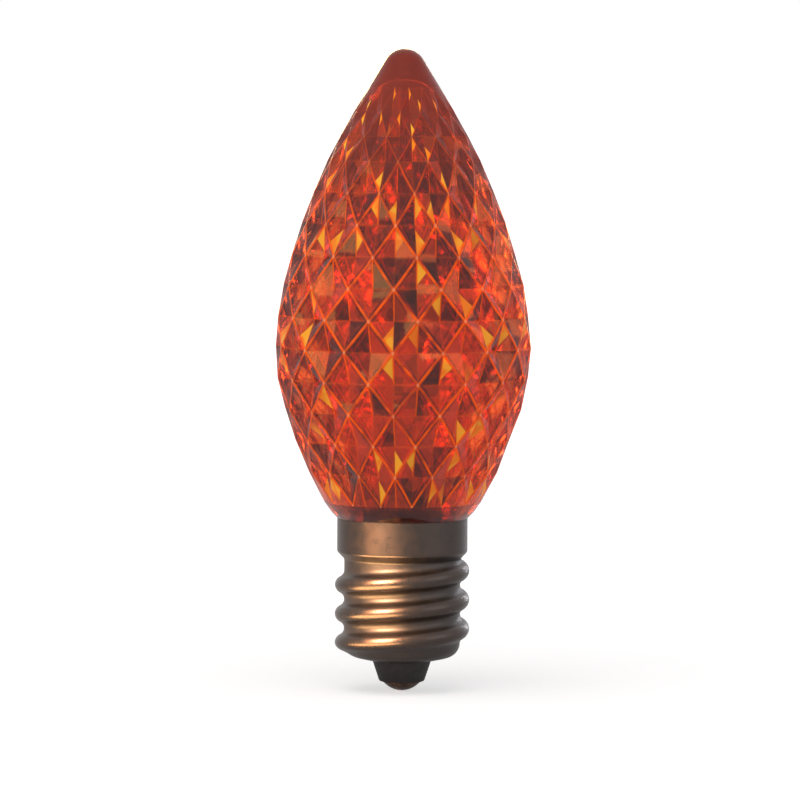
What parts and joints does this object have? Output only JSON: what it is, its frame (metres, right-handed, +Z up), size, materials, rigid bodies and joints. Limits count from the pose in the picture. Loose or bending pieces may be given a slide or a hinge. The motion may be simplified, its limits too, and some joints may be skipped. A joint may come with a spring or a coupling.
{
  "type": "christmas light bulb",
  "caption": "Replacement LED light bulb with a hollow diamond-cut orange lens on a small screw base, with its board, LEDs and feed parts inside.",
  "frame": {"origin": "lowest point of the centre contact, on the bulb's axis", "axes": "+Z up the bulb's axis to the tip of the lens; seen from -Y, with +X to the right"},
  "size_m": [0.0222, 0.0222, 0.0558],
  "materials": {
    "lens_plastic": "see-through orange moulded plastic, polished and diamond-cut",
    "shell_metal": "rolled metal with a dark bronze plating, satin to bright",
    "insulator_black": "black moulded insulator, satin",
    "contact_metal": "coppery brass rivet, slightly dulled",
    "collar_plastic": "off-white moulded plastic",
    "board_laminate": "pale glass-fibre laminate with a white mask",
    "led_resin": "amber tinted clear resin",
    "package_black": "black moulded package",
    "capacitor_can": "drawn aluminium can",
    "resistor_coating": "beige lacquered body with tinned leads",
    "tinned_wire": "bare tinned wire"
  },
  "bodies": {
    "root": {"lens": "lens_plastic", "screw_shell": "shell_metal", "base_insulator": "insulator_black", "center_contact": "contact_metal", "board_collar": "collar_plastic", "circuit_board": "board_laminate", "led_front_lower": "led_resin", "led_front_upper": "led_resin", "led_back_lower": "led_resin", "led_back_upper": "led_resin", "led_top": "led_resin", "bridge_rectifier": "package_black", "smoothing_capacitor": "capacitor_can", "series_resistor": "resistor_coating", "contact_wire": "tinned_wire", "shell_wire": "tinned_wire"}
  },
  "joints": []
}
